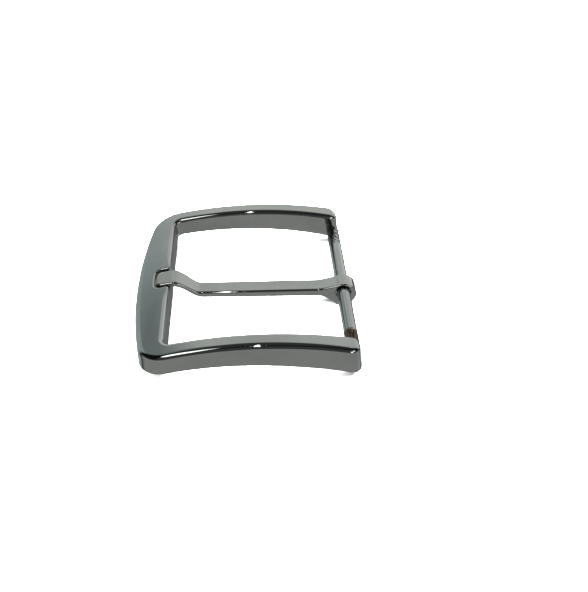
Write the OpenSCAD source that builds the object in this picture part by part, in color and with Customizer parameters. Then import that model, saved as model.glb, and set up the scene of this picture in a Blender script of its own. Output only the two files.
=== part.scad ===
// Prong belt buckle: an arched open frame, a strap bar across its rear end and a swinging prong.
// Origin: middle of the strap bar's axis. The frame lies towards -X, the bar runs along Y, +Z is up.

/* [Strap] */
// Clear width between the side rails, which is the width of the strap
strap_w = 45; // [25:0.5:60]

/* [Frame plan] */
// Strap bar's axis to the front bar's inner face
window_len = 41.2; // [34:0.2:56]
// Width of the front bar in the middle, along its top
front_w = 8; // [6.8:0.05:12]
// Radius of the front bar's bowed outer edge
front_bow_r = 111; // [80:1:300]
// Width of a side rail at the crest, at its front end
rail_w_front = 4; // [3:0.1:8]
// Width of a side rail at the crest, at the strap bar
rail_w_rear = 4.4; // [3.8:0.1:8]
// Rail ends past the strap bar's axis, at crest level
end_reach = 0.45; // [0.3:0.05:3]
// Radius of the outer corners beside the front bar
front_corner_r = 6.5; // [2:0.1:8]
// Radius of the same corners at the foot of the wall
foot_corner_r = 6; // [2:0.1:9]
// Radius of the outer corners at the rail ends
rear_corner_r = 2.1; // [1:0.1:2.4]
// Radius of the window's front corners
window_corner_r = 1.8; // [0.5:0.1:4]
// Radius on the rail ends' inner upright edges
rail_nose_r = 1.7; // [0.5:0.1:1.9]
// Draft of the side rails' outer walls, in degrees
wall_draft = 7; // [0:0.5:9]
// Lean of the front bar's outer wall, foot inwards, in degrees
front_lean = 1.5; // [0:0.5:12]

/* [Frame side] */
// Height of the frame's crest over the strap bar's axis
crest_h = 7.6; // [6.8:0.1:10]
// Crest's place in front of the window's middle
crest_shift = 0.9; // [-1:0.1:3]
// Radius of the arched top
arch_r = 96; // [80:1:200]
// Height of the underside's crest over the strap bar's axis
under_h = 2.25; // [1.6:0.1:3.5]
// Place of the underside's crest in front of the window's middle
under_shift = 5; // [0:0.1:6]
// Radius of the arched underside
under_r = 90; // [70:1:200]

/* [Prong rest] */
// Clearance on each side of the prong's tip in its recess
rest_side_gap = 0.8; // [0.2:0.05:1]
// Clearance beyond the prong's tip in its recess
rest_end_gap = 0.4; // [0.3:0.05:1.2]
// Clearance under the prong's tip
rest_floor_gap = 0.1; // [0.05:0.05:0.3]

/* [Strap bar] */
// Diameter of the strap bar
bar_d = 3.2; // [2.4:0.1:3.6]
// Diameter of the tenons held in the rails
tenon_d = 1.8; // [1.2:0.1:2]
// Length of a tenon inside its rail
tenon_len = 2.4; // [1.5:0.1:2.6]

/* [Prong] */
// Reach of the tip over the front bar
tip_reach = 3.3; // [2:0.1:4.5]
// Width of the tip
tip_w = 5; // [4:0.1:8]
// Radius of the tip's corners in plan
tip_corner_r = 1.2; // [0.5:0.1:1.9]
// Length of the flat tip
tip_flat = 3.8; // [2:0.1:6]
// Fall of the flat tip towards its end, in degrees
tip_slope = 9; // [0:0.5:14]
// Height of the tip over the front bar's top beside its middle
tip_proud = 0; // [-0.4:0.05:0.4]
// Thickness of the tip
tip_t = 1.4; // [1:0.1:2]
// Length of the bend behind the tip
bend_len = 6; // [4:0.1:9]
// Width of the arm
arm_w = 4.2; // [3:0.1:6]
// Top of the arm over the strap bar's axis, behind the bend
arm_top_front = 1.8; // [1:0.05:2.5]
// Top of the arm over the strap bar's axis, before the eye
arm_top_rear = 1; // [0.6:0.05:1.6]
// Thickness of the arm behind the bend
arm_t_front = 1.6; // [1.4:0.1:2.6]
// Thickness of the arm before the eye
arm_t_rear = 2.1; // [1.6:0.1:3]
// Radial clearance between the eye and the strap bar
eye_gap = 0.08; // [0.03:0.01:0.1]
// Outer radius of the eye
eye_r = 3.25; // [3:0.05:4.4]
// How far the eye's outer round sits below its hole
eye_drop = 0.8; // [0:0.05:0.9]
// Softness of the blend between the arm and the eye
eye_blend = 2; // [0.5:0.1:2.5]

/* [Hidden] */
$fn = 96;
slab = 0.01;
past = 1;
steps = 14;

// Frame
front_x = -(window_len + front_w);
crest_x = -(window_len / 2 + crest_shift);
under_x = -(window_len / 2 + under_shift);
low_z = -bar_d / 2;
draft_out = tan(wall_draft) * (crest_h - low_z);
half_front = strap_w / 2 + rail_w_front;
half_rear = strap_w / 2 + rail_w_rear;
bow_centre = front_x + front_bow_r;

// Prong
prong_len = window_len + tip_reach;
bend_front = -(prong_len - tip_flat);
bend_rear = bend_front + bend_len;
tip_mid_x = -(window_len + tip_reach / 2);
tip_mid_h = arch_top(tip_mid_x) + tip_proud;

// Recess for the tip
rest_w = tip_w + 2 * rest_side_gap;
rest_end = -(tip_reach / 2 + rest_end_gap);
rest_corner_r = tip_corner_r + rest_side_gap;

// Height of the arched top at x
function arch_top(x) = crest_h - arch_r + sqrt(arch_r * arch_r - pow(x - crest_x, 2));
// X of the bowed front edge at the width y
function bow_x(y) = bow_centre - sqrt(front_bow_r * front_bow_r - y * y);
// Ease from 0 to 1 as u goes from 0 to 1
function ease(u) = let (c = min(max(u, 0), 1)) c * c * (3 - 2 * c);
// The larger of two heights, blended over k
function soft_max(a, b, k) = let (h = max(k - abs(a - b), 0) / k) max(a, b) + h * h * k / 4;
// Half the height of the eye's outer round at x, below zero outside it
function eye_h(x) = let (e = eye_r * eye_r - x * x) sign(e) * sqrt(abs(e));
// Top of the flat tip at x
function tip_top(x) = tip_mid_h + tan(tip_slope) * (x - tip_mid_x);
// Share of the way from the bend's rear end to the strap bar
function arm_share(x) = min(max((x - bend_rear) / -bend_rear, 0), 1);
function arm_top(x) = arm_top_front + (arm_top_rear - arm_top_front) * arm_share(x);
function arm_t(x) = arm_t_front + (arm_t_rear - arm_t_front) * arm_share(x);
function bend_share(x) = ease((x - bend_front) / bend_len);
function strip_top(x) = tip_top(x) + (arm_top(x) - tip_top(x)) * bend_share(x);
function strip_t(x) = tip_t + (arm_t(x) - tip_t) * bend_share(x);
function prong_top(x) = soft_max(strip_top(x), eye_h(x) - eye_drop, eye_blend);
function prong_under(x) = -soft_max(strip_t(x) - strip_top(x), eye_h(x) + eye_drop, eye_blend);
function prong_half(x) = (tip_w + (arm_w - tip_w) * bend_share(x)) / 2;

// One thin slice of the frame's convex outline: side walls grown by g, front edge moved in by lean,
// corners of radius r beside the front bar
module outline_slice(g, lean, r) {
    bow_half = half_front + g - r;
    for (side = [-1, 1]) {
        translate([end_reach - rear_corner_r, side * (half_rear - rear_corner_r), 0])
            cylinder(h = slab, r = rear_corner_r + g, $fn = 32);
        translate([bow_x(bow_half) + r + lean, side * bow_half, 0])
            cylinder(h = slab, r = r, $fn = 32);
    }
    linear_extrude(slab)
        polygon([for (i = [-steps:steps]) let (y = i / steps * bow_half) [bow_x(y) + lean, y],
                 [0, bow_half], [0, -bow_half]]);
}

// The frame's outer block: its outline with drafted sides and a leaning front wall
module outer_block() {
    top_lean = -tan(front_lean) * (crest_h - arch_top(front_x));
    foot_lean = top_lean + tan(front_lean) * (crest_h - low_z);
    hull() {
        translate([0, 0, crest_h]) outline_slice(0, top_lean, front_corner_r);
        translate([0, 0, low_z]) outline_slice(draft_out, foot_lean, foot_corner_r);
    }
}

// Everything between the arched underside and the arched top
module arch_band() {
    rotate([90, 0, 0]) linear_extrude(2 * strap_w, center = true) difference() {
        translate([crest_x, crest_h - arch_r]) circle(r = arch_r, $fn = 720);
        translate([under_x, under_h - under_r]) circle(r = under_r, $fn = 720);
    }
}

// The window between the rails, open at the strap bar
module window() {
    front = -window_len;
    r = window_corner_r;
    translate([0, 0, low_z - past]) linear_extrude(crest_h - low_z + 2 * past) {
        translate([front + r, -strap_w / 2]) square([window_len + strap_w, strap_w]);
        translate([front, -strap_w / 2 + r]) square([window_len, strap_w - 2 * r]);
        for (side = [-1, 1]) translate([front + r, side * (strap_w / 2 - r)]) circle(r = r);
    }
}

// Square edge to remove so that a rail ends in a round upright nose
module nose_cut() {
    r = rail_nose_r;
    x = end_reach + draft_out;
    for (side = [-1, 1])
        translate([0, 0, low_z - past]) linear_extrude(crest_h - low_z + 2 * past) difference() {
            translate([x - r, side * strap_w / 2 - (side > 0 ? past : r)]) square([r + past, r + past]);
            translate([x - r, side * (strap_w / 2 + r)]) circle(r = r);
        }
}

// Recess in the front bar that takes the prong's tip, parallel to it and open to the window
module tip_rest() {
    r = rest_corner_r;
    run = tip_reach + rest_end_gap + past;
    translate([tip_mid_x, 0, tip_mid_h]) rotate([0, -tip_slope, 0])
        translate([rest_end, 0, -(tip_t + rest_floor_gap)]) linear_extrude(crest_h) {
            translate([r, -rest_w / 2]) square([run - r, rest_w]);
            translate([0, -rest_w / 2 + r]) square([run, rest_w - 2 * r]);
            for (side = [-1, 1]) translate([r, side * (rest_w / 2 - r)]) circle(r = r);
        }
}

// Round pads on the rail ends that the strap bar butts against
module bar_pads() {
    for (side = [-1, 1]) translate([0, side * (strap_w / 2 + rail_nose_r / 2), 0])
        rotate([90, 0, 0]) cylinder(h = rail_nose_r, d = bar_d, center = true);
}

module frame() {
    color("slategray") difference() {
        union() {
            difference() {
                intersection() {
                    outer_block();
                    arch_band();
                }
                window();
                nose_cut();
                tip_rest();
            }
            bar_pads();
        }
        rotate([90, 0, 0]) cylinder(h = strap_w + 2 * tenon_len, d = tenon_d, center = true);
    }
}

module cross_bar() {
    color("gray") rotate([90, 0, 0]) {
        cylinder(h = strap_w, d = bar_d, center = true);
        cylinder(h = strap_w + 2 * tenon_len, d = tenon_d, center = true);
    }
}

// The prong seen from the side: tip, bend, arm and eye
module prong_side() {
    tail = bend_rear + 2;
    xs = concat([-prong_len], [for (i = [0:2 * steps]) bend_front + i / (2 * steps) * bend_len],
                [tail], [for (i = [0:2 * steps]) -2 * eye_r * (1 - i / (2 * steps))]);
    polygon(concat([for (x = xs) [x, prong_top(x)]],
                   [for (i = [len(xs) - 1:-1:0]) [xs[i], prong_under(xs[i])]]));
}

// The prong seen from above: a round-cornered tip that narrows to the arm
module prong_plan() {
    r = tip_corner_r;
    tip = -prong_len + r;
    xs = [for (i = [0:steps]) bend_front + i / steps * bend_len];
    corner = [for (i = [0:steps]) let (a = 90 + 90 * i / steps) [tip + r * cos(a), tip_w / 2 - r + r * sin(a)]];
    far = concat([[0, arm_w / 2]], [for (i = [steps:-1:0]) [xs[i], prong_half(xs[i])]], corner);
    near = [for (i = [len(far) - 1:-1:0]) [far[i][0], -far[i][1]]];
    polygon(concat(far, near));
}

module prong() {
    color("dimgray") difference() {
        union() {
            intersection() {
                rotate([90, 0, 0]) linear_extrude(2 * tip_w, center = true) prong_side();
                translate([0, 0, -2 * eye_r]) linear_extrude(4 * eye_r + crest_h) prong_plan();
            }
            translate([0, 0, -eye_drop]) rotate([90, 0, 0]) cylinder(h = arm_w, r = eye_r, center = true);
        }
        rotate([90, 0, 0]) cylinder(h = arm_w + 2 * past, d = bar_d + 2 * eye_gap, center = true);
    }
}

frame();
cross_bar();
prong();
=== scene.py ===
"""Prong belt buckle: the polished pieces, their finishes and the studio around them."""

import math
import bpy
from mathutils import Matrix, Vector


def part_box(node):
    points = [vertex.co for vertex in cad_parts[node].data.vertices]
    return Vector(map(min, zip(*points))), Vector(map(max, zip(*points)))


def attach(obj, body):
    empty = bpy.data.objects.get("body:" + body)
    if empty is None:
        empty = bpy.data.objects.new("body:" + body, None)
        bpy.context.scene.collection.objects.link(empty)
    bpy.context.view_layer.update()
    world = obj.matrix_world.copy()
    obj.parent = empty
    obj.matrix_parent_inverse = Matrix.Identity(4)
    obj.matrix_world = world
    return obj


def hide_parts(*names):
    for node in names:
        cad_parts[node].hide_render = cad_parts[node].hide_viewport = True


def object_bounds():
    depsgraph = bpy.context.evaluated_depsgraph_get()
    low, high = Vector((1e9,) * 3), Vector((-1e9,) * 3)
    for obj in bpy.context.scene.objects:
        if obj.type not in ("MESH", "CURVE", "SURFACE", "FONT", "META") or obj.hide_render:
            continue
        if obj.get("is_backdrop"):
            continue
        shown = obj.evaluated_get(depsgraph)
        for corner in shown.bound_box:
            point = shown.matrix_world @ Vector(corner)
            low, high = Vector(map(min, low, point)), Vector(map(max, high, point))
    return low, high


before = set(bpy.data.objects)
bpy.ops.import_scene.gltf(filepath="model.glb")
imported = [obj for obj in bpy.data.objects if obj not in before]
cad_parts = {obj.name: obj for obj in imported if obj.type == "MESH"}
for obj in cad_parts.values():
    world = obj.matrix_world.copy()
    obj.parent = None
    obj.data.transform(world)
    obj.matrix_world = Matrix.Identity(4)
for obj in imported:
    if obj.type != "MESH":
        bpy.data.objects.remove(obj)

from types import SimpleNamespace

import bmesh
import bpy
import numpy as np

CAD_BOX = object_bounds()
MM = 1000.0  # millimetres in a metre
FRAME_LOW = np.array(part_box("frame")[0]) * MM
BAR_LOW, BAR_HIGH = (np.array(corner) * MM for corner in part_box("cross_bar"))
PRONG_LOW, PRONG_HIGH = (np.array(corner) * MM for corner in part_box("prong"))

SEAM = 3e-6  # points of one seam lie closer than this, in metres
TIP_PLAY = 0.1  # room between the prong's tip and the shelf under it, in millimetres
NUDGE = 0.02  # distance between the two rows that keep a corner crisp, in millimetres

bl_info = {
    "name": "Prong Belt Buckle",
    "version": (1, 0, 0),
    "blender": (4, 5, 0),
    "location": "View3D > Sidebar > Buckle",
    "description": "Builds a polished prong belt buckle round its engineering frame",
    "category": "Add Mesh",
}


def length(name, text, value):
    """A size in metres that a user may change."""
    return bpy.props.FloatProperty(
        name=name, description=text, default=value, min=0.0, precision=5, unit="LENGTH", subtype="DISTANCE"
    )


def degrees(name, text, value):
    """An angle that a user may change, with its default in degrees."""
    return bpy.props.FloatProperty(
        name=name, description=text, default=math.radians(value), unit="ROTATION", subtype="ANGLE"
    )


def colour(name, text, value):
    """A plain colour that a user may change."""
    return bpy.props.FloatVectorProperty(
        name=name, description=text, default=value, size=3, min=0.0, max=1.0, subtype="COLOR"
    )


def share(name, text, value):
    """A share from 0 to 1 that a user may change."""
    return bpy.props.FloatProperty(
        name=name, description=text, default=value, min=0.0, max=1.0, subtype="FACTOR"
    )


class BuckleFrameSizes(bpy.types.PropertyGroup):
    """Sizes of the frame and of its recess for the tip"""

    strap: length("Strap width", "Clear width between the side rails", 0.045)
    window: length("Window", "Strap bar's axis to the front bar's inner edge, at its top", 0.04135)
    window_corner: length("Window corner", "Radius of the window's front corners", 0.0018)
    rail_front: length("Rail, front", "Width of a side rail beside the front bar, at crest level", 0.0040)
    rail_rear: length("Rail, rear", "Width of a side rail at the strap bar, at crest level", 0.0044)
    draft: degrees("Draft", "Slope of the outer walls", 6.9)
    draft_rear: degrees("Draft, rear", "Slope of the outer walls at the rail ends", 3.5)
    lean: degrees("Front lean", "Lean of the front bar's outer wall", 1.5)
    window_lean: degrees("Window lean", "Lean of the window's front wall", 7.5)
    bow: length("Bow", "Radius of the front bar's bowed edge", 0.111)
    corner: length("Corner", "Radius of the outer corners beside the front bar", 0.0070)
    foot_corner: length("Foot corner", "Radius of the same corners at the foot of the wall", 0.0062)
    nose_outer: length("Nose, outer", "Radius of a rail end's outer upright edge", 0.0024)
    nose_inner: length("Nose, inner", "Radius of a rail end's inner upright edge", 0.0017)
    nose_reach: length("Nose reach", "How far a rail's top runs past the strap bar's axis", 0.00082)
    crest: length("Crest", "Height of the arch over the strap bar's axis", 0.0076)
    crest_place: length("Crest place", "Strap bar's axis to the crest", 0.0215)
    arch: length("Arch", "Radius of the arched top", 0.096)
    under_crest: length("Underside crest", "Height of the underside over the strap bar's axis", 0.00225)
    under_place: length("Underside place", "Strap bar's axis to the underside's crest", 0.0256)
    under_arch: length("Underside arch", "Radius of the arched underside", 0.090)
    edge: length("Edge", "Rounding of the outer top edges", 0.00135)
    edge_inner: length("Inner edge", "Rounding of the window's top edges", 0.0011)
    rim: length("Rim", "Rounding of the tip recess's rim", 0.00045)
    foot: length("Foot edge", "Rounding of the lower edges", 0.0003)
    rest_width: length("Recess width", "Width of the recess for the prong's tip", 0.0066)
    rest_end: length("Recess end", "Strap bar's axis to the end of the recess", 0.0448)
    rest_corner: length("Recess corner", "Radius of the recess's corners", 0.0016)
    rest_mouth: length("Recess mouth", "Radius of the corners where the recess opens to the window", 0.00055)


class BuckleBarSizes(bpy.types.PropertyGroup):
    """Sizes of the strap bar's knurled ends"""

    knurl_start: length("Knurl start", "Middle of the bar to the start of its knurled end", 0.0162)
    knurl_depth: length("Knurl depth", "Depth of the knurl's grooves", 0.00005)
    knurl_count: bpy.props.IntProperty(
        name="Knurl count", description="Grooves round the knurled end", default=26, min=8
    )


class BuckleProngSizes(bpy.types.PropertyGroup):
    """Sizes of the prong and its eye"""

    arm: length("Arm width", "Width of the arm and the eye", 0.0042)
    tip_corner: length("Tip corner", "Radius of the tip's corners", 0.0012)
    tip_bow: length("Tip bow", "Radius of the tip's blunt end", 0.012)
    tip_flat: length("Tip flat", "Length of the flat tip", 0.0038)
    tip_slope: degrees("Tip slope", "Fall of the flat tip towards its end", 9.0)
    tip_top: length("Tip height", "Top of the tip over the strap bar's axis, at its middle", 0.00512)
    tip_thick: length("Tip thickness", "Thickness of the flat tip", 0.0014)
    bend: length("Bend", "Length of the bend behind the tip", 0.0068)
    arm_front: length("Arm top, front", "Top of the arm behind the bend", 0.0018)
    arm_rear: length("Arm top, rear", "Top of the arm before the eye", 0.0010)
    thick_front: length("Arm thickness, front", "Thickness of the arm behind the bend", 0.0016)
    thick_rear: length("Arm thickness, rear", "Thickness of the arm before the eye", 0.0021)
    eye: length("Eye radius", "Outer radius of the eye", 0.00325)
    eye_drop: length("Eye drop", "How far the eye's outer round sits below its hole", 0.0008)
    hole: length("Hole radius", "Radius of the eye's hole", 0.00178)
    edge: length("Edge", "Rounding of the prong's top edges", 0.00055)
    eye_edge: length("Eye edge", "Rounding of the eye's edges over its hole", 0.00033)
    foot: length("Lower edge", "Rounding of the prong's lower edges", 0.0004)
    rim: length("Hole rim", "Rounding of the eye's hole at its rim", 0.0003)


class BuckleFinish(bpy.types.PropertyGroup):
    """Colours and gloss of the plate, and the bare steel's colour"""

    plate: colour("Plate", "Polished dark nickel", (0.428, 0.452, 0.432))
    plate_dark: colour("Plate, dull", "Dark nickel where it has dulled", (0.380, 0.402, 0.384))
    steel: colour("Pin steel", "Bare steel at the knurled end on the -Y side", (0.17, 0.125, 0.09))
    polish: share("Polish", "Roughness of the polished plate", 0.035)
    waviness: share("Waviness", "Strength of the cast surface's soft waves", 0.05)


class BuckleStage(bpy.types.PropertyGroup):
    """The floor, the light over it and the camera"""

    floor: colour("Floor", "The pale studio floor", (0.9, 0.9, 0.9))
    key: bpy.props.FloatProperty(
        name="Key light",
        description="Power of the soft light over the floor",
        default=420.0,
        min=0.0,
        unit="POWER",
    )
    tilt: degrees("Camera tilt", "Camera's fall below the horizon", 40.92)
    turn: degrees("Camera turn", "Camera's turn to the right", 3.67)
    lens: bpy.props.FloatProperty(
        name="Lens", description="Focal length on a 36 mm sensor", default=44.08, min=1.0, unit="CAMERA"
    )


def settings(name):
    """The named property group's values, with lengths turned to millimetres."""
    group = getattr(bpy.context.scene, name)
    values = {}
    for key in group.__annotations__:
        value = getattr(group, key)
        is_length = getattr(group.bl_rna.properties[key], "unit", "NONE") == "LENGTH"
        values[key] = value * MM if is_length else value
    return values


# ---------------------------------------------------------------- surfaces


def arc(centre, radius, start, end, count):
    """Points on a circle's arc: centre plus radius times the cosine and sine of an even run of angles.

    Also gives the unit vectors from the centre to each point.
    """
    angle = np.radians(np.linspace(start, end, count))
    out = np.stack([np.cos(angle), np.sin(angle)], -1)
    return np.array(centre) + radius * out, out


def dome(x, place, crest, radius):
    """Height of a shallow arch: the crest, less the fall of a circle of that radius from its place."""
    return crest - radius + np.sqrt(radius**2 - (x - place) ** 2)


def ease(u):
    """Smooth step from 0 to 1: three u squared less two u cubed, held at both ends."""
    u = np.clip(u, 0, 1)
    return u * u * (3 - 2 * u)


def hermite(start, start_way, end, end_way, count):
    """Cubic from start to end that leaves and arrives along the two given vectors."""
    u = np.linspace(0, 1, count)[:, None]
    return (
        (2 * u**3 - 3 * u**2 + 1) * start
        + (u**3 - 2 * u**2 + u) * start_way
        + (3 * u**2 - 2 * u**3) * end
        + (u**3 - u**2) * end_way
    )


def side_band(edge, out, top, under, rounding, foot, slope, wall, turns=8, foot_turns=4):
    """One side of a plate: a rounded top edge, a sloping wall and a rounded foot, at each point of its edge.

    A column starts on the top, one tangent length inside the edge. The rounding is a circle's arc that is
    tangent to the top and to the wall, which grows outwards by slope for each unit down. The wall runs
    straight to the foot's quarter circle, which ends on the underside.
    """
    lean = np.arctan(slope)[:, None]
    r = rounding[:, None]
    tangent = r * np.tan((np.pi / 2 - lean) / 2)
    angle = np.linspace(0, 1, turns + 1) * (np.pi / 2 - lean)
    grown = r * np.sin(angle) - tangent
    plan = edge[:, None] + out[:, None] * grown[..., None]
    high = top(plan[..., 0]) - r * (1 - np.cos(angle))

    rf = foot[:, None]
    fall = top(edge[:, :1]) - under(edge[:, :1]) - rf
    wall_end = slope[:, None] * fall
    angle = np.linspace(0, np.pi / 2, foot_turns + 1)
    foot_grown = wall_end - rf * (1 - np.cos(angle))
    foot_plan = edge[:, None] + out[:, None] * foot_grown[..., None]
    foot_high = under(foot_plan[..., 0]) + rf * (1 - np.sin(angle))

    first = np.concatenate([plan[:, -1], high[:, -1:]], -1)[:, None]
    last = np.concatenate([foot_plan[:, 0], foot_high[:, :1]], -1)[:, None]
    rows = first + (last - first) * np.array(wall)[:, None]
    top_rows = np.concatenate([plan, high[..., None]], -1)
    foot_rows = np.concatenate([foot_plan, foot_high[..., None]], -1)
    return np.concatenate([top_rows, rows, foot_rows], 1)


def plate_section(left, right, top, under, across):
    """Closed sections of an arched plate, one for each pair of edge points.

    Each runs over the top from right to left, down the left band, back along the underside and up the right
    band. Points over the top and along the underside lie at the given shares between the two bands' ends,
    at the height that the top or underside has there.
    """
    u = np.array(across)[:, None]
    over = right[:, :1] + (left[:, :1] - right[:, :1]) * u
    over[..., 2] = top(over[..., 0])
    below = left[:, -1:] + (right[:, -1:] - left[:, -1:]) * u
    below[..., 2] = under(below[..., 0])
    return np.concatenate([over, left, below, right[:, ::-1]], 1)


def unit_normals(width, x, step):
    """Unit vectors square to the edge y = width of x, from its rise over a short step each way."""
    rise = (width(x + step) - width(x - step)) / (2 * step)
    normal = np.stack([-rise, np.ones(len(x))], -1)
    return normal / np.linalg.norm(normal, axis=1)[:, None]


def closed_ends(rings, centres):
    """A tube's rings with each end drawn in to its centre: one point repeated, put before and after them."""
    first, last = (np.broadcast_to(centre, (1, rings.shape[1], 3)) for centre in centres)
    return np.concatenate([first, rings, last])


def tube_faces(stations, around):
    """Quads of a tube: each point joined to the next round its section and to its like on the next one."""
    i = np.arange(stations - 1)[:, None] * around
    j = np.arange(around)[None]
    k = (j + 1) % around
    return np.stack([i + j, i + k, i + around + k, i + around + j], -1).reshape(-1, 4)


def sheet_faces(rows, columns):
    """Quads of an open grid of rows by columns."""
    i = np.arange(rows - 1)[:, None] * columns
    j = np.arange(columns - 1)[None]
    return np.stack([i + j, i + j + 1, i + columns + j + 1, i + columns + j], -1).reshape(-1, 4)


def joined(*parts):
    """Points and faces of several grids as one list of each."""
    points, faces, start = [], [], 0
    for grid, quads in parts:
        flat = grid.reshape(-1, 3)
        points.append(flat)
        faces.append(quads + start)
        start += len(flat)
    return np.concatenate(points), np.concatenate(faces)


def link(name, data):
    """A new object in the scene."""
    holder = bpy.data.objects.new(name, data)
    bpy.context.scene.collection.objects.link(holder)
    return holder


def add_piece(name, points, faces, body, node, material):
    """Puts millimetre points into a closed mesh whose faces point outwards, and rides it on its body."""
    mesh = bpy.data.meshes.new(name)
    mesh.from_pydata(points / MM, [], faces)
    work = bmesh.new()
    work.from_mesh(mesh)
    bmesh.ops.remove_doubles(work, verts=work.verts, dist=SEAM)
    bmesh.ops.recalc_face_normals(work, faces=work.faces)
    open_edges = sum(1 for edge in work.edges if len(edge.link_faces) != 2)
    work.to_mesh(mesh)
    work.free()
    if open_edges:
        raise RuntimeError(f"{name} has {open_edges} edges that don't join two faces")
    mesh.shade_smooth()
    mesh.materials.append(material)
    piece = link(name, mesh)
    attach(piece, body)
    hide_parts(node)


# ---------------------------------------------------------------- finishes


def node_maker(tree):
    """A short way to add nodes: a type, its inputs by name or number, and its settings."""

    def make(kind, inputs=None, **attributes):
        node = tree.nodes.new(kind)
        for key, value in attributes.items():
            setattr(node, key, value)
        for key, value in (inputs or {}).items():
            if isinstance(value, bpy.types.NodeSocket):
                tree.links.new(value, node.inputs[key])
            else:
                node.inputs[key].default_value = value
        return node

    return make


def rgba(values):
    """A colour with full cover."""
    return (*values, 1.0)


def noise(make, place, scale, detail, roughness=0.5):
    """Soft noise over a place, as a value round one half."""
    inputs = {"Vector": place, "Scale": scale, "Detail": detail, "Roughness": roughness}
    return make("ShaderNodeTexNoise", inputs).outputs["Fac"]


def mapped(make, value, start, end, low=0.0, high=1.0, smooth=False):
    """A value carried from the run start to end over to the run low to high, and held at both ends."""
    inputs = {"Value": value, "From Min": start, "From Max": end, "To Min": low, "To Max": high}
    kind = "SMOOTHSTEP" if smooth else "LINEAR"
    return make("ShaderNodeMapRange", inputs, interpolation_type=kind).outputs["Result"]


def calculated(make, operation, *values):
    """One math node's result."""
    return make("ShaderNodeMath", dict(enumerate(values)), operation=operation).outputs[0]


def blended(make, factor, first, second):
    """A mix of two colours: the first where the factor is 0, the second where it is 1."""
    return make("ShaderNodeMix", {0: factor, 6: first, 7: second}, data_type="RGBA").outputs[2]


def bare_ends(make, place, surface, rough, start, steel):
    """The bar's ends past the knurl: streaked bare steel on one side, dark spots in the plate on the other.

    Both begin on a ragged line: the distance along the bar, plus a little noise, past the knurl's start.
    """
    along = make("ShaderNodeSeparateXYZ", {"Vector": place}).outputs["Y"]
    ragged = noise(make, place, 1500.0, 3.0)

    def beyond(side):
        """One past the knurl's ragged start on the side with that sign of Y."""
        outward = calculated(make, "MULTIPLY", along, side)
        shifted = calculated(make, "MULTIPLY_ADD", ragged, 0.0011, outward)
        return mapped(make, shifted, start + 0.00055, start + 0.0008, smooth=True)

    bare, marked = beyond(-1.0), beyond(1.0)
    stretched = make("ShaderNodeMapping", {"Vector": place, "Scale": (1.0, 0.12, 1.0)}).outputs[0]
    streaks = make("ShaderNodeValToRGB", {"Fac": noise(make, stretched, 2600.0, 3.0, 0.6)})
    dark, light = streaks.color_ramp.elements
    dark.position, dark.color = 0.38, (0.012, 0.008, 0.006, 1.0)
    light.position, light.color = 0.62, rgba(steel)
    spots = calculated(make, "MULTIPLY", mapped(make, ragged, 0.47, 0.54, 0.85, 0.0), marked)
    spotted = blended(make, spots, surface, (0.03, 0.03, 0.03, 1.0))
    worn = make("ShaderNodeMix", {"Factor": bare, "A": rough, "B": 0.34}).outputs[0]
    return blended(make, bare, spotted, streaks.outputs["Color"]), worn


def polished_plate(name, knurl=None):
    """Polished dark nickel: faint dull patches, fine scuffs in its gloss, rubbed edges, soft casting waves.

    knurl, if given, holds the knurl's start along the bar in metres and the bare steel's colour.
    """
    finish = bpy.context.scene.buckle_finish
    material = bpy.data.materials.new(name)
    material.use_nodes = True
    tree = material.node_tree
    tree.nodes.clear()
    make = node_maker(tree)
    place = make("ShaderNodeTexCoord").outputs["Object"]
    dull = mapped(make, noise(make, place, 70.0, 4.0, 0.55), 0.35, 0.68, smooth=True)
    tone = blended(make, dull, rgba(finish.plate), rgba(finish.plate_dark))
    scuffs = noise(make, place, 900.0, 6.0, 0.7)
    rough = mapped(make, scuffs, 0.3, 0.75, finish.polish * 0.75, finish.polish * 1.5)
    edges = make("ShaderNodeNewGeometry").outputs["Pointiness"]
    rubbed = mapped(make, edges, 0.53, 0.62, high=0.35)
    surface = blended(make, rubbed, tone, (0.56, 0.56, 0.55, 1.0))
    waves = noise(make, place, 260.0, 2.0, 0.4)
    bump = make("ShaderNodeBump", {"Strength": finish.waviness, "Distance": 0.0002, "Height": waves})
    if knurl:
        surface, rough = bare_ends(make, place, surface, rough, *knurl)
    shader = make(
        "ShaderNodeBsdfPrincipled",
        {"Metallic": 1.0, "Base Color": surface, "Roughness": rough, "Normal": bump.outputs["Normal"]},
    )
    make("ShaderNodeOutputMaterial", {"Surface": shader.outputs[0]}, target="ALL")
    return material


# ---------------------------------------------------------------- pieces


def frame_top(s, x):
    """Height of the frame's arched top at x."""
    return dome(x, -s["crest_place"], s["crest"], s["arch"])


def frame_under(s, x):
    """The arched underside, cut off level with the strap bar's lowest line.

    The larger of the arch and that level, plus a quarter of the blend times the square of how near they are.
    """
    blend, level = 0.3, BAR_LOW[2]
    z = dome(x, -s["under_place"], s["under_crest"], s["under_arch"])
    near = np.clip(blend - np.abs(z - level), 0, None) / blend
    return np.maximum(z, level) + near * near * blend / 4


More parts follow.
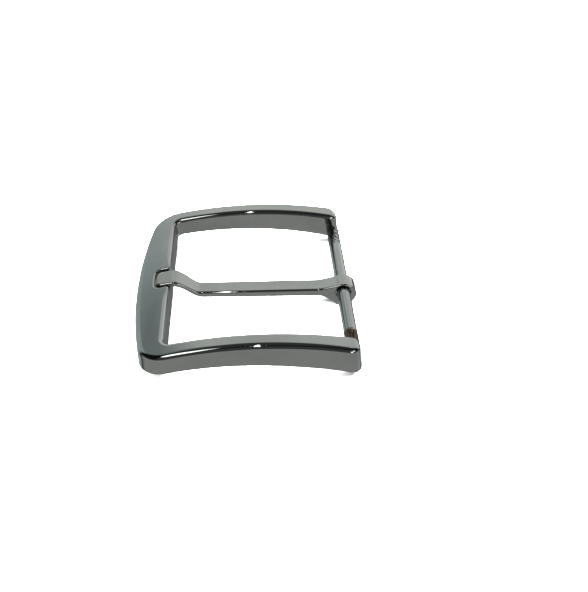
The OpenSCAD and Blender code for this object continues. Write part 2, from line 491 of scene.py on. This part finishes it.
def frame_rows(s):
    """Matched edge points of the frame's outer outline and its window edge, from one rail end to the other.

    Each row is a piece of both: the rail end's two upright roundings, the rail, the corner, the front bar,
    and the recess's mouth, side, corner and end. The outer edge is the rail's half width plus the draft times
    the arch's fall, then a corner circle tangent to the rail and to the bow, then the bow's circle. The far
    half is the mirror of the near one. Gives the outline's points, outward ways and slopes, and the window's
    points, outward ways, slopes and roundings.
    """
    half = s["strap"] / 2
    slope, slope_rear = math.tan(s["draft"]), math.tan(s["draft_rear"])
    lean, inward = math.tan(s["lean"]), math.tan(s["window_lean"])
    front = FRAME_LOW[0]
    nose_out, nose_in, tip = s["nose_outer"], s["nose_inner"], s["nose_reach"]
    corner_r, bow_r = s["corner"], s["bow"]
    window, window_r = -s["window"], s["window_corner"]
    rest, rest_end, rest_r = s["rest_width"] / 2, -s["rest_end"], s["rest_corner"]
    mouth = s["rest_mouth"]
    near_corner = -40.0  # where the rail's width is read for the corner
    mouth_fade = 4.0  # length over which the window's edge narrows to the recess's rim

    def rail_edge(x):
        """Half the frame's width: half the strap's, the rail's at x, and the slope times the arch's fall."""
        run = np.clip(-x / s["window"], 0, 1)
        width = s["rail_rear"] + (s["rail_front"] - s["rail_rear"]) * run
        return half + width + slope * (s["crest"] - frame_top(s, x))

    def drafted(x):
        """The side's slope, eased from the rear value to the front one over a third of the rail."""
        return slope_rear + (slope - slope_rear) * ease((tip - nose_out - x) / (s["window"] / 3))

    bow_centre = front + bow_r
    corner_y = rail_edge(near_corner) - corner_r
    corner_x = bow_centre - math.sqrt((bow_r - corner_r) ** 2 - corner_y**2)
    turn = math.degrees(math.asin(corner_y / (bow_r - corner_r)))
    height = frame_top(s, front) - dome(front, -s["under_place"], s["under_crest"], s["under_arch"])
    flare = (corner_r - s["foot_corner"]) / height

    def swept(normals):
        """Slope that carries the side's draft round to the front's lean and tightens the corner's foot."""
        side, ahead = normals[:, 1], -normals[:, 0]
        return slope * side - lean * ahead + flare * (side + ahead - 1)

    def bow(y):
        """Points of the bowed front edge at y, and the unit vectors outwards there."""
        angle = np.arcsin(y / bow_r)
        normals = np.stack([-np.cos(angle), np.sin(angle)], -1)
        return np.array([bow_centre, 0.0]) + bow_r * normals, normals

    outer, inner = [], []

    def add_outer(points, normals, slopes):
        outer.append((points, normals, slopes))

    def add_inner(points, normals, slopes, rounding):
        """One stretch of the window's edge; a single slope or rounding holds for all its points."""
        count = len(points)
        inner.append((points, normals, *(np.zeros(count) + value for value in (slopes, rounding))))

    def along_x(start, end, y, count):
        """An edge of the window that runs forward at y, with the metal on its far side."""
        x = np.linspace(start, end, count + 1)[1:]
        return np.stack([x, np.full(count, y)], -1), np.tile([0.0, -1.0], (count, 1))

    def along_y(start, end, x, count):
        """An edge of the window that runs towards the middle at x, with the metal in front of it."""
        y = np.linspace(start, end, count + 1)[1:]
        return np.stack([np.full(count, x), y], -1), np.tile([1.0, 0.0], (count, 1))

    # rail end
    count = 20
    swell = 0.03  # how far the middle of a rail's end stands past its two roundings
    side = rail_edge(tip - nose_out)
    out_points, out_ways = arc((tip - nose_out, side - nose_out), nose_out, 0, 90, count - 1)
    in_points, in_ways = arc((tip - nose_in, half + nose_in), nose_in, 0, -90, count - 1)
    middle = np.array([[tip + swell, (side - nose_out + half + nose_in) / 2]])
    ahead = [[1.0, 0.0]]
    eased = ease(np.concatenate([[0], np.linspace(0, 1, count - 1)]))
    rounding = s["edge"] + (s["edge_inner"] - s["edge"]) * eased
    out_slope = slope + (slope_rear - slope) * eased
    add_outer(np.concatenate([middle, out_points]), np.concatenate([ahead, out_ways]), out_slope)
    in_slope = slope * (1 - eased)
    add_inner(np.concatenate([middle, in_points]), np.concatenate([ahead, in_ways]), in_slope, rounding)

    # rail
    count = 92
    x = np.linspace(tip - nose_out, corner_x, count + 1)[1:]
    add_outer(np.stack([x, rail_edge(x)], -1), unit_normals(rail_edge, x, step=0.05), drafted(x))
    add_inner(*along_x(tip - nose_in, window + window_r, half, count), 0, s["edge_inner"])

    # corner
    count = 30
    out_points, out_ways = arc((corner_x, corner_y), corner_r, 90, 180 - turn, count + 1)
    add_outer(out_points[1:], out_ways[1:], swept(out_ways[1:]))
    in_points, in_ways = arc((window + window_r, half - window_r), window_r, 90, 180, count + 1)
    in_slope = inward * ease(np.linspace(0, 1, count + 1)[1:])
    add_inner(in_points[1:], -in_ways[1:], in_slope, s["edge_inner"])

    # front bar's window edge, and the recess's mouth, side, corner and end
    bar_count, mouth_count, side_count, corner_count, end_count = 40, 8, 10, 16, 4
    points, ways = along_y(half - window_r, rest + mouth, window, bar_count)
    narrowed = 1 - ease((points[:, 1] - rest - mouth) / mouth_fade)
    add_inner(points, ways, inward, s["edge_inner"] + (s["rim"] - s["edge_inner"]) * narrowed)
    in_points, in_ways = arc((window - mouth, rest + mouth), mouth, 0, -90, mouth_count + 1)
    add_inner(in_points[1:], in_ways[1:], inward * (1 - np.linspace(0, 1, mouth_count)), s["rim"])
    add_inner(*along_x(window - mouth, rest_end + rest_r, rest, side_count), 0, s["rim"])
    in_points, in_ways = arc((rest_end + rest_r, rest - rest_r), rest_r, 90, 180, corner_count + 1)
    add_inner(in_points[1:], -in_ways[1:], 0, s["rim"])
    add_inner(*along_y(rest - rest_r, 0, rest_end, end_count), 0, s["rim"])

    # front bar's bowed edge, in stretches that lie across from those of the recess
    bow_end = bow_r * math.sin(math.radians(turn))
    mouth_from, side_from, corner_from, end_from = 7.4, 6.9, 3.7, 1.7
    for start, end, count in (
        (bow_end, mouth_from, bar_count),
        (mouth_from, side_from, mouth_count),
        (side_from, corner_from, side_count),
        (corner_from, end_from, corner_count),
        (end_from, 0.0, end_count),
    ):
        points, ways = bow(np.linspace(start, end, count + 1)[1:])
        add_outer(points, ways, swept(ways))

    def mirrored(values):
        """The near half followed by its mirror; a vector's Y changes sign there, a size stays."""
        whole = np.concatenate(values)
        back = whole[:-1][::-1]
        return np.concatenate([whole, back * np.array([1.0, -1.0]) if whole.ndim == 2 else back])

    return [mirrored(column) for column in zip(*outer)], [mirrored(column) for column in zip(*inner)]


def frame_surface(s, p):
    """The frame as one arched U with a notch at the tip's place, and the shelf that floors the notch.

    Its sections stand on the matched rows of the two edges: a side band hangs from each, and the top and the
    underside join the two bands.
    """

    def top(x):
        return frame_top(s, x)

    def under(x):
        return frame_under(s, x)

    (outer, outer_ways, outer_slope), (inner, inner_ways, inner_slope, inner_round) = frame_rows(s)
    count = len(outer)
    wall = (0.03, 0.35, 0.65, 0.97)
    turns, notch_foot, notch_play = 9, 0.02, 0.15
    edge, foot = np.full(count, s["edge"]), np.full(count, s["foot"])
    notch = np.abs(inner[:, 1]) < s["rest_width"] / 2 + notch_play
    inner_foot = np.where(notch, notch_foot, s["foot"])
    left = side_band(outer, outer_ways, top, under, edge, foot, outer_slope, wall, turns)
    right = side_band(inner, inner_ways, top, under, inner_round, inner_foot, inner_slope, wall, turns)
    across = (0.02, 0.08, 0.16, 0.26, 0.38, 0.5, 0.62, 0.74, 0.84, 0.92, 0.98)
    sections = plate_section(left, right, top, under, across)
    shelf = shelf_rings(s, p)
    return joined((sections, tube_faces(*sections.shape[:2])), (shelf, tube_faces(*shelf.shape[:2])))


def shelf_rings(s, p):
    """The shelf under the tip: a profile in the upright plane, repeated across the recess.

    The profile is the sloping floor, a quarter-round lip, a straight wall down the window's lean, a rounded
    foot and a line just below the underside. Near the window it widens by the mouth's rounding, so that it
    always ends inside the frame's metal.
    """
    slope, lean = math.tan(p["tip_slope"]), math.tan(s["window_lean"])
    tip_middle = (PRONG_LOW[0] - s["window"]) / 2
    level = p["tip_top"] - (p["tip_thick"] + TIP_PLAY) / math.cos(p["tip_slope"])
    lip_r, foot_r, proud, past_end, past_side = 0.25, s["foot"], 0.003, 0.35, 0.12
    front, back = -s["window"], -s["rest_end"] - past_end

    def floor(x):
        """The shelf's height: a straight line, parallel to the tip and a little below it."""
        return level + slope * (x - tip_middle)

    face = front + lean * (frame_top(s, front) - floor(front))
    foot_x = front + lean * (frame_top(s, front) - frame_under(s, front) - foot_r)
    x = np.concatenate([[back, back + NUDGE], np.linspace(back + 0.1, face - lip_r, 11)])
    floor_line = np.stack([x, floor(x)], -1)
    lip, _ = arc((face - lip_r, floor(face - lip_r) - lip_r), lip_r, 90, 5, 8)
    steps = np.array([0.05, 0.35, 0.65, 0.95])[:, None]
    foot_arc, _ = arc((foot_x - foot_r, frame_under(s, foot_x) + foot_r), foot_r, 0, -90, 5)
    wall_line = lip[-1] + (foot_arc[0] - lip[-1]) * steps
    x = np.concatenate([np.linspace(foot_x - foot_r - 0.2, back + 0.1, 9), [back + NUDGE, back]])
    below = np.stack([x, frame_under(s, x) - proud], -1)
    loop = np.concatenate([floor_line, lip[1:], wall_line, foot_arc, below])

    reach = s["rest_width"] / 2 + past_side
    inside = np.linspace(-reach + 0.06, reach - 0.06, 7)
    places = np.array([-reach, -reach + 0.01, *inside, reach - 0.01, reach])
    shelf = np.stack([np.stack([loop[:, 0], np.full(len(loop), y), loop[:, 1]], -1) for y in places])
    mouth = s["rest_mouth"]
    depth = np.clip(shelf[..., 0] - front + mouth, 0, mouth)
    shelf[..., 1] *= 1 + (mouth - np.sqrt(mouth**2 - depth**2)) / reach
    return closed_ends(shelf, shelf[[0, -1]].mean(1))


def bar_surface(b):
    """The strap bar: a round bar with even grooves along its ends, and a thin ring cut where they start.

    Its radius is the bar's, less the knurl's depth times half of one minus the cosine of the groove angle,
    less the ring's depth times a steep bell round the knurl's start, less the chamfer's run at the end.
    """
    sunk, chamfer, past_face = 0.004, 0.28, 1.5
    ring_depth, ring_reach = 0.05, 0.12
    radius, end = BAR_HIGH[2] - sunk, BAR_HIGH[1] - past_face
    start, depth, count = b["knurl_start"], b["knurl_depth"], b["knurl_count"]
    half = np.concatenate(
        [
            np.linspace(0, start - 0.3, 22),
            start + np.array([-0.16, -0.12, -0.08, 0.08, 0.12, 0.16, 0.3]),
            np.linspace(start + 0.5, end - 0.3, 12),
            [end - chamfer, end - 0.15, end - 0.03, end],
        ]
    )
    y = np.concatenate([-half[:0:-1], half])
    angle = np.linspace(0, 2 * np.pi, 8 * count, endpoint=False)
    ring = ring_depth * np.exp(-(((np.abs(y) - start) / ring_reach) ** 4))
    cut_in = ease((np.abs(y) - start - 0.08) / 0.3)[:, None]
    groove = cut_in * depth * (1 - np.cos(count * angle)) / 2
    bevel = np.clip(np.abs(y) - (end - chamfer), 0, None)
    r = radius - ring[:, None] - groove - bevel[:, None]
    rings = np.stack([r * np.cos(angle), np.broadcast_to(y[:, None], r.shape), r * np.sin(angle)], -1)
    rings = closed_ends(rings, [(0.0, -end, 0.0), (0.0, end, 0.0)])
    return joined((rings, tube_faces(*rings.shape[:2])))


SEAM_X = -8.0  # where the prong's plate meets its eye, in millimetres
EYE_X = -6.4  # where the eye's outline starts to leave the arm's two lines, in millimetres
PRONG_TURNS = 8  # steps round an edge of the prong
PRONG_ACROSS = (0.02, 0.1, 0.3, 0.5, 0.7, 0.9, 0.98)  # shares of its width where its top has points


def prong_lines(s, p):
    """The prong's heights and half width as functions of x.

    The top is the sloping tip eased into the arm's line over the bend, the underside is the top less a
    thickness eased the same way, and the half width is eased from the tip's to the arm's.
    """
    reach = PRONG_HIGH[1]
    bend_front = PRONG_LOW[0] + p["tip_flat"]
    bend_rear = bend_front + p["bend"]
    tip_middle = (PRONG_LOW[0] - s["window"]) / 2

    def along_arm(x, front, rear):
        """A straight run of values from the bend's rear to the bar."""
        return front + (rear - front) * np.clip((x - bend_rear) / -bend_rear, 0, 1)

    def bent(x):
        """Zero on the flat tip and one on the arm, eased over the bend."""
        return ease((x - bend_front) / p["bend"])

    def arm_top(x):
        return along_arm(x, p["arm_front"], p["arm_rear"])

    def arm_under(x):
        return arm_top(x) - along_arm(x, p["thick_front"], p["thick_rear"])

    def top(x):
        flat = p["tip_top"] + math.tan(p["tip_slope"]) * (np.minimum(x, bend_rear) - tip_middle)
        return flat + (arm_top(x) - flat) * bent(x)

    def under(x):
        return top(x) - (p["tip_thick"] + (arm_top(x) - arm_under(x) - p["tip_thick"]) * bent(x))

    def half(x):
        return reach + (p["arm"] / 2 - reach) * bent(x)

    return SimpleNamespace(
        bend_rear=bend_rear, bent=bent, arm_top=arm_top, arm_under=arm_under, top=top, under=under, half=half
    )


def prong_plate(s, p):
    """The prong's tip, bend and arm: a plate whose edge runs from the blunt end round the corner to the seam.

    The end is a large circle's arc, the corner a small one's, tangent to it and to the side; the side follows
    the half width.
    """
    tip, reach = PRONG_LOW[0], PRONG_HIGH[1]
    lines = prong_lines(s, p)
    r, blunt = p["tip_corner"], p["tip_bow"]
    sweep = math.asin((reach - r) / (blunt - r))
    turn = 180 - math.degrees(sweep)
    corner_x = tip + blunt - (blunt - r) * math.cos(sweep)
    end, end_ways = arc((tip + blunt, 0), blunt, 180, turn, 7)
    corner, corner_ways = arc((corner_x, reach - r), r, turn, 90, 15)
    past_bend = lines.bend_rear + 1.0
    x = np.concatenate([np.linspace(corner_x, past_bend, 60)[1:], np.linspace(past_bend, SEAM_X, 40)[1:]])
    edge = np.concatenate([end, corner[1:], np.stack([x, lines.half(x)], -1)])
    out = np.concatenate([end_ways, corner_ways[1:], unit_normals(lines.half, x, step=0.02)])

    count, flip = len(edge), np.array([1.0, -1.0])
    wall = (0.06, 0.25, 0.5, 0.75, 0.94)
    tip_rounding = 0.45
    rounding = p["edge"] - (p["edge"] - tip_rounding) * (1 - lines.bent(edge[:, 0]))
    shape = rounding, np.full(count, p["foot"]), np.zeros(count), wall, PRONG_TURNS, PRONG_TURNS
    left = side_band(edge, out, lines.top, lines.under, *shape)
    right = side_band(edge * flip, out * flip, lines.top, lines.under, *shape)
    return plate_section(left, right, lines.top, lines.under, PRONG_ACROSS)


def prong_eye(s, p):
    """The prong's eye and its bore, from the seam across the arm.

    The eye's outline leaves the arm's two lines on cubic curves that meet the outer circle along its
    tangents. Its sides run in to a line along the arm's middle and round the hole. The bore is the rim's
    quarter circle, the wall of the hole, and the rim again.
    """
    lines = prong_lines(s, p)
    seam_count, blend_count, circle_count, fade_count = 6, 14, 60, 20
    top_angle, under_angle = 112, -138  # where the two curves meet the outer circle
    leave_top, meet_top = np.array([3.2, -0.06]), 2.6
    leave_under, meet_under = np.array([-2.4, 0.05]), 2.4

    # outline in the upright plane, from the seam's top over the eye and back to the seam's underside
    x = np.linspace(SEAM_X, EYE_X, seam_count)
    over = np.stack([x, lines.arm_top(x)], -1)
    x = np.linspace(EYE_X + 0.5, SEAM_X, seam_count)
    back = np.stack([x, lines.arm_under(x)], -1)
    circle, way = arc((0.0, -p["eye_drop"]), p["eye"], top_angle, under_angle, circle_count)
    along = np.stack([way[:, 1], -way[:, 0]], -1)
    rise = hermite(over[-1], leave_top, circle[0], along[0] * meet_top, blend_count + 1)[1:-1]
    fall = hermite(circle[-1], along[-1] * meet_under, back[0], leave_under, blend_count + 1)[1:-1]
    outline = np.concatenate([over, rise, circle, fall, back])
    tangent = np.gradient(outline, axis=0)
    inward = np.stack([tangent[:, 1], -tangent[:, 0]], -1)
    inward /= np.linalg.norm(inward, axis=1)[:, None]
    inward[0], inward[-1] = (0, -1), (0, 1)
    order = np.arange(len(outline))
    thinner = ease((order - seam_count) / blend_count)
    lower = ease((order - (seam_count + blend_count + circle_count // 2)) / fade_count)
    depth = p["edge"] + (p["eye_edge"] - p["edge"]) * thinner + (p["foot"] - p["eye_edge"]) * lower

    # line that the sides run in to: along the arm's middle, settling to the bar's height, and round the hole
    rim, settle_x = p["hole"] + p["rim"], -4.5
    to_hole = np.linspace(EYE_X, -rim, blend_count - 3)[1:]
    x = np.concatenate([np.linspace(SEAM_X, EYE_X, seam_count), to_hole])
    middle = (lines.arm_top(x) - p["edge"] + lines.arm_under(x) + p["foot"]) / 2
    settled = ease((x - settle_x) / (-settle_x - rim))
    spine_line = np.stack([x, middle * (1 - settled)], -1)
    around = len(outline) - 2 * len(spine_line)
    hole_way = arc((0, 0), 1.0, 180, -180, around + 2)[1]
    spine = np.concatenate([spine_line, hole_way[1:-1] * rim, spine_line[::-1]])

    # sides, and the strip that joins them round the outline
    w = p["arm"] / 2
    angle = np.linspace(0, np.pi / 2, PRONG_TURNS + 1)
    inset = depth[:, None] * (1 - np.cos(angle))
    rounded = outline[:, None] + inward[:, None] * inset[..., None]
    y = w - depth[:, None] + depth[:, None] * np.sin(angle)
    edge_rows = np.stack([rounded[..., 0], y, rounded[..., 1]], -1)
    start = rounded[:, -1:]
    face = start + (spine[:, None] - start) * np.array([0.12, 0.5, 1.0])[:, None]
    face_rows = np.stack([face[..., 0], np.full(face.shape[:2], w), face[..., 1]], -1)
    near_side = np.concatenate([edge_rows, face_rows], 1)
    far_side = near_side * np.array([1.0, -1.0, 1.0])
    strip = far_side[:, :1] + (near_side[:, :1] - far_side[:, :1]) * np.array(PRONG_ACROSS)[:, None]
    eye = np.concatenate([far_side[:, ::-1], strip, near_side], 1)

    # bore
    hole_way[-1] = hole_way[0]
    angle = np.linspace(0, np.pi / 2, 6)
    radius = p["hole"] + p["rim"] * (1 - np.sin(angle))
    place = w - p["rim"] * (1 - np.cos(angle))
    radius = np.concatenate([radius, [p["hole"]] * 3, radius[::-1]])
    place = np.concatenate([place, np.linspace(w - p["rim"], p["rim"] - w, 5)[1:-1], -place[::-1]])
    across = np.broadcast_to(place, (len(hole_way), len(place)))
    bore = np.stack([hole_way[:, :1] * radius, across, hole_way[:, 1:] * radius], -1)
    return eye, bore


def prong_surface(s, p):
    """The prong: a plate for its tip, bend and arm, and a ring for its eye, with one seam across the arm."""
    plate = prong_plate(s, p)
    eye, bore = prong_eye(s, p)
    return joined(
        (plate, tube_faces(*plate.shape[:2])),
        (eye, sheet_faces(*eye.shape[:2])),
        (bore, sheet_faces(*bore.shape[:2])),
    )


# ---------------------------------------------------------------- operators


class BUCKLE_OT_frame(bpy.types.Operator):
    """Make the arched frame with its rounded edges and the recess for the tip"""

    bl_idname = "buckle.make_frame"
    bl_label = "Frame"

    def execute(self, context):
        points, faces = frame_surface(settings("buckle_frame"), settings("buckle_prong"))
        material = polished_plate("frame_plate")
        add_piece("buckle_frame", points, faces, "frame", "frame", material)
        return {"FINISHED"}


class BUCKLE_OT_bar(bpy.types.Operator):
    """Make the round strap bar with its knurled ends"""

    bl_idname = "buckle.make_bar"
    bl_label = "Strap bar"

    def execute(self, context):
        sizes = settings("buckle_bar")
        steel = tuple(context.scene.buckle_finish.steel)
        points, faces = bar_surface(sizes)
        material = polished_plate("bar_plate", (sizes["knurl_start"] / MM, steel))
        add_piece("buckle_bar", points, faces, "frame", "cross_bar", material)
        return {"FINISHED"}


class BUCKLE_OT_prong(bpy.types.Operator):
    """Make the cranked prong with its closed eye"""

    bl_idname = "buckle.make_prong"
    bl_label = "Prong"

    def execute(self, context):
        points, faces = prong_surface(settings("buckle_frame"), settings("buckle_prong"))
        material = polished_plate("prong_plate")
        add_piece("buckle_prong", points, faces, "prong", "prong", material)
        return {"FINISHED"}


# ---------------------------------------------------------------- studio


WHITE, WARM, COOL = (1.0, 1.0, 1.0), (1.0, 1.0, 0.985), (0.93, 0.98, 1.0)


def studio_world():
    """The room that the metal reflects: a bright soft panel behind, a grey front, and dark overhead.

    Each part is a strength times masks on a direction's rise over the horizon and on its turn. Turn is
    counted from straight behind the buckle and facing from straight before it, both growing to the right.
    """
    world = bpy.data.worlds.new("studio")
    world.use_nodes = True
    tree = world.node_tree
    tree.nodes.clear()
    make = node_maker(tree)
    axes = make("ShaderNodeSeparateXYZ", {"Vector": make("ShaderNodeTexCoord").outputs["Generated"]})
    x, y, z = axes.outputs
    rise = calculated(make, "ARCSINE", z)
    turn = calculated(make, "ARCTAN2", x, y)
    facing = calculated(make, "ARCTAN2", x, calculated(make, "MULTIPLY", y, -1.0))

    def both(first, second):
        """The product of two masks."""
        return calculated(make, "MULTIPLY", first, second)

    def step(angle, start, end):
        """From zero to one between two angles in degrees, with soft ends."""
        return mapped(make, angle, math.radians(start), math.radians(end), smooth=True)

    def fading(start, end, low, high):
        """From one strength to another between two rises in degrees."""
        return mapped(make, rise, math.radians(start), math.radians(end), low, high)

    def span(angle, start, end, soft):
        """One between two angles in degrees, falling to zero over a soft edge outside them."""
        return both(step(angle, start - soft, start), step(angle, end + soft, end))

    def light(mask, strength, tint=WHITE):
        """A glow of one tint where the mask lets it through."""
        inputs = {"Color": rgba(tint), "Strength": both(mask, strength)}
        return make("ShaderNodeBackground", inputs).outputs[0]

    def patch(around, rises, turns, strength, tint=WHITE):
        """A patch of light: its rises and its turns, each as from, to and soft edge."""
        return light(both(span(rise, *rises), span(around, *turns)), strength, tint)

    right = step(turn, -32.5, -16)
    panel = both(both(span(rise, -3, 57, 7), both(right, step(turn, 84, 70))), fading(25, 50, 0.86, 0.62))
    side = both(both(step(rise, 66, 56), calculated(make, "SUBTRACT", 1.0, right)), span(turn, -62, 0, 14))
    side = both(side, fading(24.5, 31.5, 0.5, 0.27))
    front_low = both(step(rise, 2, -8), mapped(make, y, 0.3, -0.05, smooth=True))
    back_low = both(step(rise, -6, -24), both(mapped(make, y, -0.25, 0.15, smooth=True), right))
    parts = (
        light(panel, 1.0, WARM),
        light(side, 1.1, (0.85, 0.98, 1.0)),
        light(front_low, 0.38, WARM),
        light(back_low, 0.22, COOL),
        light(step(rise, 50, 75), 0.05),
        # two patches behind to the right, at the horizon and under it
        patch(turn, (-5, 6, 4), (27, 38, 4), 0.35, (0.93, 1.0, 1.0)),
        patch(turn, (-46, -22, 5), (40, 56, 5), 1.0),
        # the glint at the rails' crests, and the streak along their edges in front of it
        patch(facing, (46, 70, 4), (-1.9, -0.5, 0.6), 9.0),
        patch(facing, (47, 60, 4), (-56, -25, 4), 3.5),
        # a patch at the front right, a wide faint fill in front, and the glint at the near rail's end
        patch(facing, (14, 26, 5), (44, 62, 6), 1.5),
        patch(facing, (6, 40, 8), (-40, 40, 20), 0.06),
        patch(facing, (3, 16, 4), (22, 36, 3), 3.0),
    )
    total = make("ShaderNodeBackground", {"Color": rgba((0.9, 0.95, 1.0)), "Strength": 0.01}).outputs[0]
    for part in parts:
        total = make("ShaderNodeAddShader", {0: total, 1: part}).outputs[0]
    plain = make("ShaderNodeBackground", {"Color": rgba((0.95, 0.95, 0.95)), "Strength": 1.0}).outputs[0]
    seen = make("ShaderNodeLightPath").outputs["Is Camera Ray"]
    mixed = make("ShaderNodeMixShader", {0: seen, 1: total, 2: plain}).outputs[0]
    make("ShaderNodeOutputWorld", {"Surface": mixed})
    bpy.context.scene.world = world


def studio_floor(tint):
    """A plain pale square under the buckle, which the metal doesn't mirror."""
    reach, gap = 0.9, 0.00005
    across = np.linspace(-reach, reach, 3)
    grid = np.stack([*np.meshgrid(across, across), np.full((3, 3), CAD_BOX[0][2] - gap)], -1)
    mesh = bpy.data.meshes.new("floor")
    mesh.from_pydata(grid.reshape(-1, 3), [], sheet_faces(3, 3))
    paper = bpy.data.materials.new("floor_paper")
    paper.use_nodes = True
    inputs = paper.node_tree.nodes["Principled BSDF"].inputs
    inputs["Base Color"].default_value = rgba(tint)
    inputs["Roughness"].default_value = 0.9
    inputs["Specular IOR Level"].default_value = 0.0
    mesh.materials.append(paper)
    floor = link("floor", mesh)
    floor.visible_glossy = False
    floor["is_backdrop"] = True


def key_light(power):
    """One large soft light over the buckle, turned to face its middle; the metal doesn't mirror it."""
    place, aim, size = (-0.1, 0.0, 1.6), (-0.02, 0.0, 0.0), 2.4
    lamp = bpy.data.lights.new("key", "AREA")
    lamp.shape = "SQUARE"
    lamp.size = size
    lamp.energy = power
    holder = link("key", lamp)
    x, y, z = np.subtract(aim, place)
    holder.location = place
    holder.rotation_euler = (math.atan2(math.hypot(x, y), -z), 0.0, math.atan2(-x, y))
    holder.visible_glossy = False


def studio_camera(stage):
    """The camera, above the floor and in front of the near rail, tilted down and turned a little right."""
    camera = bpy.data.cameras.new("camera")
    camera.sensor_fit = "HORIZONTAL"
    camera.sensor_width = 36.0
    camera.lens = stage.lens
    camera.clip_start = 0.005
    holder = link("camera", camera)
    holder.location = (-0.02037, -0.13292, 0.11317)
    holder.rotation_euler = (math.pi / 2 - stage.tilt, 0.0, -stage.turn)
    bpy.context.scene.camera = holder


class BUCKLE_OT_stage(bpy.types.Operator):
    """Set the pale floor, the soft light, the room and the camera"""

    bl_idname = "buckle.make_stage"
    bl_label = "Stage"

    def execute(self, context):
        stage = context.scene.buckle_stage
        studio_floor(stage.floor)
        studio_world()
        key_light(stage.key)
        studio_camera(stage)
        context.scene.view_settings.view_transform = "Standard"
        return {"FINISHED"}


class BUCKLE_PT_panel(bpy.types.Panel):
    """Sizes, finishes and the buttons that make each piece"""

    bl_idname = "BUCKLE_PT_panel"
    bl_label = "Belt Buckle"
    bl_space_type = "VIEW_3D"
    bl_region_type = "UI"
    bl_category = "Buckle"

    def draw(self, context):
        for step in STEPS:
            self.layout.operator(step.bl_idname, text=step.bl_label)
        for name in GROUPS:
            box = self.layout.box()
            group = getattr(context.scene, name)
            for key in group.__annotations__:
                box.prop(group, key)


GROUPS = {
    "buckle_frame": BuckleFrameSizes,
    "buckle_bar": BuckleBarSizes,
    "buckle_prong": BuckleProngSizes,
    "buckle_finish": BuckleFinish,
    "buckle_stage": BuckleStage,
}
STEPS = (BUCKLE_OT_frame, BUCKLE_OT_bar, BUCKLE_OT_prong, BUCKLE_OT_stage)


def register():
    """Add the classes, and each group of sizes to the scene."""
    for cls in (*GROUPS.values(), *STEPS, BUCKLE_PT_panel):
        bpy.utils.register_class(cls)
    for name, cls in GROUPS.items():
        setattr(bpy.types.Scene, name, bpy.props.PointerProperty(type=cls))


def unregister():
    """Take the groups and the classes away again."""
    for name in GROUPS:
        delattr(bpy.types.Scene, name)
    for cls in reversed((*GROUPS.values(), *STEPS, BUCKLE_PT_panel)):
        bpy.utils.unregister_class(cls)


def main():
    """Make every piece in order."""
    register()
    bpy.ops.buckle.make_frame()
    bpy.ops.buckle.make_bar()
    bpy.ops.buckle.make_prong()
    bpy.ops.buckle.make_stage()
    sizes = {"cad": CAD_BOX, "visual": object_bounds()}
    plain = {name: [[float(v) for v in corner] for corner in box] for name, box in sizes.items()}


if __name__ == "__main__":
    main()
